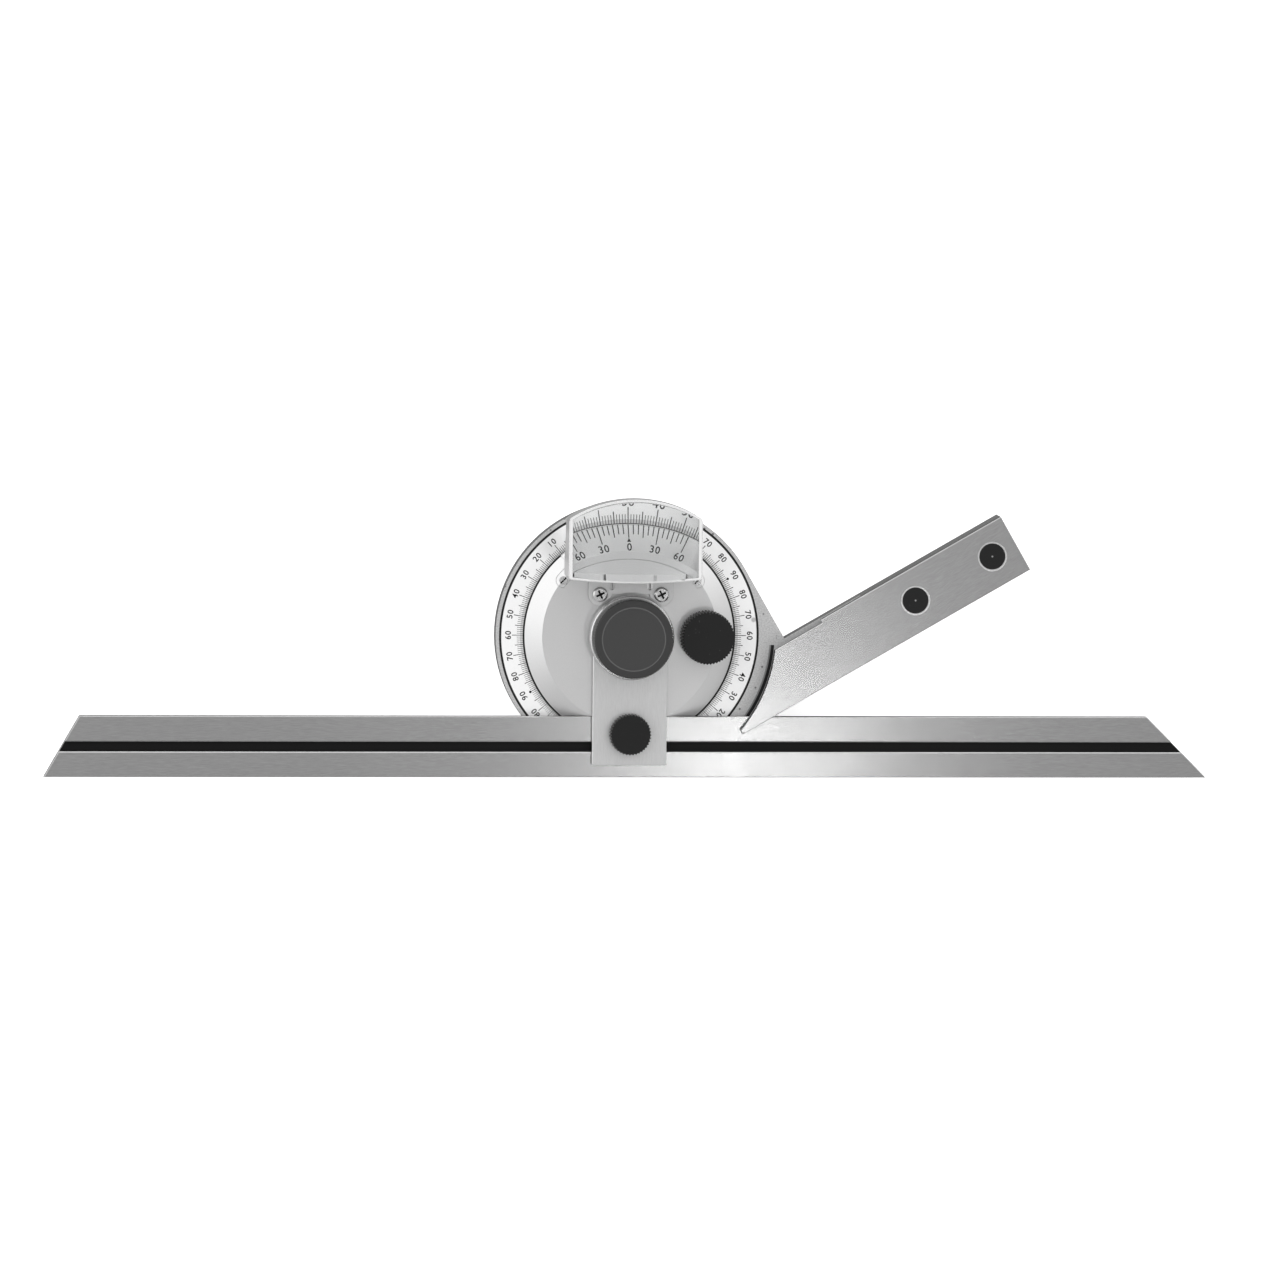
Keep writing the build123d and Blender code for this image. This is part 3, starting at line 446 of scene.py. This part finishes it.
# painted shade in the seam at the dial, and a painted shadow along the stock's hollow end that stops at its
# corner
frameBands = [(pivot, 33.1, 33.5, 0.02), (pivot, 36.4, 37.6, 0.3, -2.4),
              (pivot, 36.8, 37.6, 0.02, -2.4)]
# a painted highlight ring on the cap's groove, and slightly darker outside it
capBands = [(pivot, 7.95, 8.25, 0.13), (pivot, 8.3, 10.4, 0.036)]
rivetLow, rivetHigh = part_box("stock_rivets")
rivetRadius = 3.35
firstRivet = (rivetLow.x + rivetRadius * mm, rivetLow.y + rivetRadius * mm, 0.0)
lastRivet = (rivetHigh.x - rivetRadius * mm, rivetHigh.y - rivetRadius * mm, 0.0)
# painted highlight rings round the rivets' countersinks
stockBands = [(centre, rivetRadius, rivetRadius + 0.42, 1.0) for centre in (firstRivet, lastRivet)]
# painted shade on the wall of the stock's hollow end
stockBands.append((pivot, 37.2, 37.47, 0.02))       # the wall of its hollow end
# a lighter spot at each rivet's centre
rivetBands = [(centre, -0.1, 0.22, 0.3) for centre in (firstRivet, lastRivet)]
bracketHeadLevel = 8.38
vernierHeadLevel = 7.17

stockAngle = 30.0
bladeSteel = groundSteel("blade_ground_steel", 0.0, groundLook)
stockSteel = groundSteel("stock_ground_steel", stockAngle, stockLook, stockBands)
coverSteel = groundSteel("clamp_ground_steel", 90.0, coverLook)
bracketSteel = groundSteel("bracket_ground_steel", 90.0, bracketLook)
frameSteel = blastedSteel("frame_blasted_steel", blastedLook, frameBands)
turretChrome = blastedSteel("turret_satin_chrome", satinLook, turretBands)
dialChrome = blastedSteel("dial_satin_chrome", dialLook, dialBands)
vernierChrome = blastedSteel("vernier_satin_chrome", vernierLook)
bezelChrome = blastedSteel("bezel_satin_chrome", bezelLook)
# white matte finish of the slit lips: a painted highlight
lipHighlight = blastedSteel("lip_painted_highlight", dialLook)
brightChrome = turnedMetal("bright_chrome", (0.0, 0.0, 0.0), brightLook)
bracketScrew = turnedMetal("bracket_screw_chrome", (0.0, 0.0, 0.0), brightLook, bracketHeadLevel)
vernierScrew = turnedMetal("vernier_screw_chrome", (0.0, 0.0, 0.0), brightLook, vernierHeadLevel)
turnedSteel = turnedMetal("turned_steel", (0.0, 0.0, 0.0), turnedLook)
brass = turnedMetal("bearing_brass", (0.0, 0.0, 0.0), brassLook)
knobBlack = blackFinish("knob_black", knobLook)
rivetBlack = blackFinish("rivet_black", knobLook, rivetBands)
capBlack = blackFinish("cap_dark", capLook, capBands)
greyEnamel = blackFinish("grey_enamel", greyEnamelLook)
# black enamel in the scales' marks, also the painted shadow sheet in the blade's groove
enamelAndShadow = blackFinish("black_enamel_and_shadow", enamelAndShadowLook)
glass = lensGlass("lens_glass", glassLook)

finishes = {
    "blade": bladeSteel, "stock_plate": stockSteel, "frame_plate": frameSteel,
    "clamp_plate": coverSteel, "magnifier_bracket": bracketSteel,
    "dial_ring": dialChrome, "turret": turretChrome, "vernier_plate": vernierChrome,
    "magnifier_frame": bezelChrome, "lock_nut": brightChrome,
    "vernier_screws": vernierScrew, "bracket_screws": bracketScrew, "clamp_screws": brightChrome,
    "stock_rivets": rivetBlack, "clamp_knob": knobBlack, "fine_adjust_knob": knobBlack,
    "lock_cap": capBlack, "magnifier_lens": glass,
    "turret_bush": brass, "fine_adjust_bush": brass,
    "pivot_stud": turnedSteel, "ring_gear": turnedSteel, "fine_adjust_pinion": turnedSteel,
    "fine_adjust_shaft": turnedSteel, "clamp_hook": turnedSteel, "clamp_washer": turnedSteel,
    "lock_washer": turnedSteel, "knob_set_screw": turnedSteel,
}
for nodeName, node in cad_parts.items():
    for slot in node.material_slots or [None]:
        if slot is None:
            node.data.materials.append(finishes[nodeName])
        else:
            slot.link = "OBJECT"
            slot.material = finishes[nodeName]
print("finishes given to", len(finishes), "nodes")


# Places read from the frame

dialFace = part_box("dial_ring")[1].z
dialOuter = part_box("dial_ring")[1].x
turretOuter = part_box("turret")[1].x
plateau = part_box("turret")[1].z
bladeLow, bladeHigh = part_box("blade")

coneTop = 22.6 * mm         # where the turret's border starts to slope
coneFoot = 27.0 * mm        # where it meets the dial's level


def surfaceHeight(radius):
    # height of the turret's face at a radius: flat, then falling to the dial
    if radius >= turretOuter:
        return dialFace
    share = min(max((radius - coneTop) / (coneFoot - coneTop), 0.0), 1.0)
    return plateau + share * (dialFace - plateau)


def onDial(x, y, level, radius, angle):
    # a mark drawn flat about its own centre, laid on the dial at a radius and angle
    reach = radius + y
    turn = math.radians(angle) - x / radius
    return Vector((reach * math.cos(turn), reach * math.sin(turn), surfaceHeight(reach) + level))


marks = {
    "raised": 0.015 * mm,
    "sunk": 0.02 * mm,
    "spacing": 1.15,                # the numerals' letter spacing
    "weight": 0.014,                # and how far their strokes are thickened
    "roundness": 3,
    "weld": 0.0001,
}


def joinRings(mesh, first, last):
    # a closed skin between two rings of points, with a cap on each
    for i in range(len(first)):
        j = (i + 1) % len(first)
        mesh.faces.new((first[i], first[j], last[j], last[i]))
    mesh.faces.new(first)
    mesh.faces.new(list(reversed(last)))


def addPrism(mesh, outline, radius, angle):
    # closed low prism over an outline given anticlockwise
    top = [mesh.verts.new(onDial(x, y, marks["raised"], radius, angle)) for x, y in outline]
    bottom = [mesh.verts.new(onDial(x, y, -marks["sunk"], radius, angle)) for x, y in outline]
    joinRings(mesh, top, bottom)


def addLine(mesh, inner, outer, width, angle):
    half = width / 2
    addPrism(mesh, [(-half, 0.0), (half, 0.0), (half, outer - inner), (-half, outer - inner)], inner, angle)


def addNumeral(mesh, text, height, radius, angle):
    # digits from the built-in font, raised into a closed shape and laid on the dial
    curve = bpy.data.curves.new("numeral", "FONT")
    curve.body = text
    curve.size = 1.0
    curve.resolution_u = marks["roundness"]
    curve.space_character = marks["spacing"]
    curve.offset = marks["weight"]
    curve.extrude = 0.5
    holder = bpy.data.objects.new("numeral", curve)
    scene.collection.objects.link(holder)
    bpy.context.view_layer.update()
    drawing = holder.evaluated_get(bpy.context.evaluated_depsgraph_get())
    shape = bpy.data.meshes.new_from_object(drawing)
    xs = [v.co.x for v in shape.vertices]
    ys = [v.co.y for v in shape.vertices]
    middle = ((min(xs) + max(xs)) / 2, (min(ys) + max(ys)) / 2)
    scale = height / (max(ys) - min(ys))
    drawn = bmesh.new()
    drawn.from_mesh(shape)
    bmesh.ops.remove_doubles(drawn, verts=drawn.verts, dist=marks["weld"])
    copies = {}
    for v in drawn.verts:
        level = marks["raised"] if v.co.z > 0 else -marks["sunk"]
        copies[v] = mesh.verts.new(onDial((v.co.x - middle[0]) * scale, (v.co.y - middle[1]) * scale,
                                          level, radius, angle))
    for face in drawn.faces:
        mesh.faces.new([copies[v] for v in face.verts])
    drawn.free()
    bpy.data.objects.remove(holder)
    bpy.data.curves.remove(curve)
    bpy.data.meshes.remove(shape)


def makePiece(name, mesh, finish, body):
    bmesh.ops.recalc_face_normals(mesh, faces=mesh.faces)
    data = bpy.data.meshes.new(name)
    mesh.to_mesh(data)
    mesh.free()
    piece = bpy.data.objects.new(name, data)
    scene.collection.objects.link(piece)
    data.materials.append(finish)
    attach(piece, body)
    return piece


# Degree scale on the dial: four quarters of 90, read in both directions from the stock

degreeScale = {
    "zeroAngle": 120.0,             # polar angle of a zero; the other lies opposite
    "start": 27.42 * mm,
    "degreeEnd": 28.95 * mm,
    "fiveEnd": 29.5 * mm,
    "tenEnd": 30.2 * mm,
    "lineWidth": 0.16 * mm,
    "degreeWidth": 0.12 * mm,
    "numeralRadius": 31.2 * mm,
    "numeralHeight": 1.55 * mm,
    "diamond": 0.4 * mm,
    "diamondRadius": 29.2 * mm,
}


def quarterReading(degree):
    # 0 at both ends of the stock line, 90 square to it
    return 90 - abs(degree % 180 - 90)


def makeDegreeScale():
    s = degreeScale
    lines = bmesh.new()
    fineLines = bmesh.new()
    for degree in range(360):
        reading = quarterReading(degree)
        angle = s["zeroAngle"] - degree
        end = s["degreeEnd"]
        if reading % 5 == 0:
            end = s["fiveEnd"]
        if reading % 10 == 0:
            end = s["tenEnd"]
        if reading == 90:
            end = s["diamondRadius"]
            d = s["diamond"]
            addPrism(lines, [(0.0, -d), (d, 0.0), (0.0, d), (-d, 0.0)], s["diamondRadius"], angle)
        if reading % 5 == 0:
            addLine(lines, s["start"], end, s["lineWidth"], angle)
        else:
            addLine(fineLines, s["start"], end, s["degreeWidth"], angle)
    makePiece("degree_lines", lines, enamelAndShadow, "frame")
    makePiece("degree_fine_lines", fineLines, greyEnamel, "frame")
    numbers = bmesh.new()
    for degree in range(0, 360, 10):
        text = str(quarterReading(degree))
        addNumeral(numbers, text, s["numeralHeight"], s["numeralRadius"], s["zeroAngle"] - degree)
    makePiece("degree_numbers", numbers, enamelAndShadow, "frame")


makeDegreeScale()
print("degree scale engraved")


# Vernier: twelve divisions of five minutes to each side of its zero

vernierScale = {
    "zeroAngle": 90.0,
    "sideSpan": 23.0,               # degrees that twelve divisions take
    "divisions": 12,
    "outer": 27.18 * mm,
    "shortEnd": 25.6 * mm,
    "middleEnd": 25.1 * mm,
    "longEnd": 24.25 * mm,
    "zeroEnd": 25.0 * mm,
    "lineWidth": 0.16 * mm,
    "triangle": 0.36 * mm,
    "triangleRadius": 24.65 * mm,
    "numeralRadius": 23.4 * mm,
    "numeralHeight": 1.35 * mm,
    "minutes": 5,
}


def makeVernierScale():
    s = vernierScale
    lines = bmesh.new()
    numbers = bmesh.new()
    for count in range(-s["divisions"], s["divisions"] + 1):
        angle = s["zeroAngle"] - count * s["sideSpan"] / s["divisions"]
        minutes = abs(count) * s["minutes"]
        end = s["shortEnd"]
        if minutes % 15 == 0:
            end = s["middleEnd"]
        if minutes % 30 == 0:
            end = s["longEnd"]
        if minutes == 0:
            end = s["zeroEnd"]
            t = s["triangle"]
            addPrism(lines, [(-t, -t), (t, -t), (0.0, t)], s["triangleRadius"], angle)
        addLine(lines, end, s["outer"], s["lineWidth"], angle)
        if minutes % 30 == 0:
            addNumeral(numbers, str(minutes), s["numeralHeight"], s["numeralRadius"], angle)
    makePiece("vernier_lines", lines, enamelAndShadow, "turret")
    makePiece("vernier_numbers", numbers, enamelAndShadow, "turret")


makeVernierScale()
print("vernier engraved")


# A black sheet on the floor of the blade's groove, drawn up a little at both walls: a painted shadow in the
# groove

grooveShadow = {
    "middle": 28.55 * mm,           # distance of the groove from the pivot
    "halfFloor": 1.58 * mm,
    "floorDepth": 0.9 * mm,
    "thickness": 0.03 * mm,
    "rise": 0.03 * mm,
    "leftAngle": 60.0,
    "rightAngle": 45.0,
    "endGap": 0.2 * mm,
    "steps": 8,
}


def makeGrooveEnamel():
    s = grooveShadow
    floor = bladeHigh.z - s["floorDepth"]
    mesh = bmesh.new()
    section = []
    for i in range(s["steps"] + 1):
        share = 2 * i / s["steps"] - 1
        section.append((share * s["halfFloor"], floor + s["thickness"] + s["rise"] * share ** 4))
    section += [(s["halfFloor"], floor), (-s["halfFloor"], floor)]
    ends = []
    for side, corner, angle in ((-1, bladeLow.x, s["leftAngle"]), (1, bladeHigh.x, s["rightAngle"])):
        ring = []
        for across, height in section:
            y = across - s["middle"]
            x = corner - side * ((y - bladeLow.y) / math.tan(math.radians(angle)) + s["endGap"])
            ring.append(mesh.verts.new((x, y, height)))
        ends.append(ring)
    joinRings(mesh, *ends)
    makePiece("groove_painted_shadow", mesh, enamelAndShadow, "blade")


makeGrooveEnamel()
print("groove filled")


# Rolled lips beside the slits of the bracket, up to the magnifier's wall, white as a painted highlight

slitLips = {
    "slit": 4.85 * mm,
    "offset": 0.5 * mm,             # middle of a lip from the middle of its slit
    "width": 0.5 * mm,
    "height": 0.13 * mm,
    "start": 12.3 * mm,
    "end": 14.46 * mm,
    "sink": 0.02 * mm,
    "steps": 8,
}


def makeSlitLips():
    s = slitLips
    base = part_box("magnifier_bracket")[1].z
    mesh = bmesh.new()
    for middle in (-s["slit"] - s["offset"], -s["slit"] + s["offset"],
                   s["slit"] - s["offset"], s["slit"] + s["offset"]):
        rings = []
        for y in (s["start"], s["end"]):
            ring = [mesh.verts.new((middle - s["width"] / 2, y, base - s["sink"]))]
            for i in range(s["steps"] + 1):
                turn = math.pi * (1 - i / s["steps"])
                ring.append(mesh.verts.new((middle + s["width"] / 2 * math.cos(turn), y,
                                            base + s["height"] * math.sin(turn))))
            ring.append(mesh.verts.new((middle + s["width"] / 2, y, base - s["sink"])))
            rings.append(ring)
        joinRings(mesh, *rings)
    makePiece("slit_lips", mesh, lipHighlight, "turret")


makeSlitLips()
print("slit lips rolled")


# Floor, lights, world and camera

studio = {
    "floorSize": 8.0,
    "floorGap": 0.05 * mm,
    "floorShade": 0.9,
    "floorSpread": 0.01,            # how far the paper's shade varies to each side
    "floorGrain": 900.0,
    "floorRough": 0.9,
    "floorGlow": 0.75,
    "keyPlace": (0.1, -0.09, 0.6),
    "keySize": 0.035,
    "keyPower": 0.034,
    "sidePlace": (0.55, -0.55, 0.9),
    "sideSize": 0.5,
    "sidePower": 4.0,
    "skyLean": (-0.35, 0.93, 0.0),  # the side from which most light comes
    "skyDark": 0.03,                # light at the start of the ramp towards that side
    "skyLight": 1.7,                # and at its end
    "rampFrom": -0.75,
    "rampTo": 0.35,
    "skyLeast": 0.3,                # least light high up
    "skyLow": 1.0,                  # least light near the horizon
    "leastFrom": 0.3,
    "leastTo": 0.75,
    "zenith": 0.53,                 # share of the light left straight overhead
    "zenithFrom": 0.7,
    "zenithTo": 0.98,
    "below": 0.15,                  # share of it below the horizon
    "horizonSoft": 0.05,
}


def makeFloor():
    mesh = bmesh.new()
    half = studio["floorSize"] / 2
    corners = [(-half, -half), (half, -half), (half, half), (-half, half)]
    mesh.faces.new([mesh.verts.new((x, y, cadLow.z - studio["floorGap"])) for x, y in corners])
    data = bpy.data.meshes.new("floor")
    mesh.to_mesh(data)
    mesh.free()
    floor = bpy.data.objects.new("floor", data)
    scene.collection.objects.link(floor)
    material, tree, shader = newFinish("floor_paper")
    coords = addNode(tree, "ShaderNodeTexCoord")
    paper = addNode(tree, "ShaderNodeTexNoise", None,
                    {"Vector": coords.outputs["Object"], "Scale": studio["floorGrain"]})
    colour = shadeBetween(tree, paper.outputs["Fac"], studio["floorShade"] - studio["floorSpread"],
                          studio["floorShade"] + studio["floorSpread"])
    tree.links.new(colour, shader.inputs["Base Color"])
    shader.inputs["Roughness"].default_value = studio["floorRough"]
    shader.inputs["Emission Color"].default_value = asColour(1.0)
    shader.inputs["Emission Strength"].default_value = studio["floorGlow"]
    data.materials.append(material)
    floor.visible_glossy = False    # polished edges mirror the dark below the table instead


def makeLight(name, place, size, power):
    light = bpy.data.lights.new(name, "AREA")
    light.shape = "DISK"
    light.size = size
    light.energy = power
    holder = bpy.data.objects.new(name, light)
    scene.collection.objects.link(holder)
    holder.location = place
    holder.rotation_euler = Vector(place).to_track_quat("Z", "Y").to_euler()
    holder.visible_camera = False
    return holder


def keepOffLens(light):
    # the lens passes this light on, but shows no spot of it
    others = bpy.data.collections.new(light.name + "_skips")
    others.objects.link(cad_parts["magnifier_lens"])
    others.collection_objects[0].light_linking.link_state = "EXCLUDE"
    light.light_linking.receiver_collection = others


def makeWorld():
    # pale studio: bright at the far side, dimmer overhead and towards the reader, dark below the table
    world = bpy.data.worlds.new("studio")
    world.use_nodes = True
    tree = world.node_tree
    tree.nodes.clear()
    coords = addNode(tree, "ShaderNodeTexCoord")
    lean = addNode(tree, "ShaderNodeVectorMath", {"operation": "DOT_PRODUCT"},
                   {0: coords.outputs["Generated"], 1: studio["skyLean"]})
    direction = addNode(tree, "ShaderNodeSeparateXYZ", None, {"Vector": coords.outputs["Generated"]})
    up = direction.outputs["Z"]
    side = mapRange(tree, lean.outputs["Value"], studio["rampFrom"], studio["rampTo"],
                    studio["skyDark"], studio["skyLight"])
    least = mapRange(tree, up, studio["leastFrom"], studio["leastTo"], studio["skyLow"], studio["skyLeast"])
    side = math2(tree, "MAXIMUM", side, least)
    overhead = mapRange(tree, up, studio["zenithFrom"], studio["zenithTo"], 1.0, studio["zenith"])
    horizon = mapRange(tree, up, -studio["horizonSoft"], studio["horizonSoft"], studio["below"], 1.0)
    level = math2(tree, "MULTIPLY", math2(tree, "MULTIPLY", side, overhead), horizon)
    sky = addNode(tree, "ShaderNodeBackground", None, {"Strength": level})
    output = addNode(tree, "ShaderNodeOutputWorld")
    tree.links.new(sky.outputs[0], output.inputs["Surface"])
    scene.world = world


photoView = {
    "place": (-0.27924, 0.22926, 2.6089),
    "turn": (-0.0884, -0.1063, 0.0115),
    "focal": 290.95,
    "sensor": 36.0,
    "nearest": 0.05,
    "farthest": 20.0,
}


def makeCamera():
    camera = bpy.data.cameras.new("photo_view")
    camera.lens = photoView["focal"]
    camera.sensor_width = photoView["sensor"]
    camera.clip_start = photoView["nearest"]
    camera.clip_end = photoView["farthest"]
    holder = bpy.data.objects.new("photo_view", camera)
    scene.collection.objects.link(holder)
    holder.location = photoView["place"]
    holder.rotation_euler = photoView["turn"]
    scene.camera = holder


makeFloor()
keyLight = makeLight("key_light", studio["keyPlace"], studio["keySize"], studio["keyPower"])
sideLight = makeLight("side_softbox", studio["sidePlace"], studio["sideSize"], studio["sidePower"])
sideLight.visible_glossy = False
keepOffLens(keyLight)
keepOffLens(sideLight)
makeWorld()
makeCamera()
scene.view_settings.view_transform = "Standard"
print("studio set")
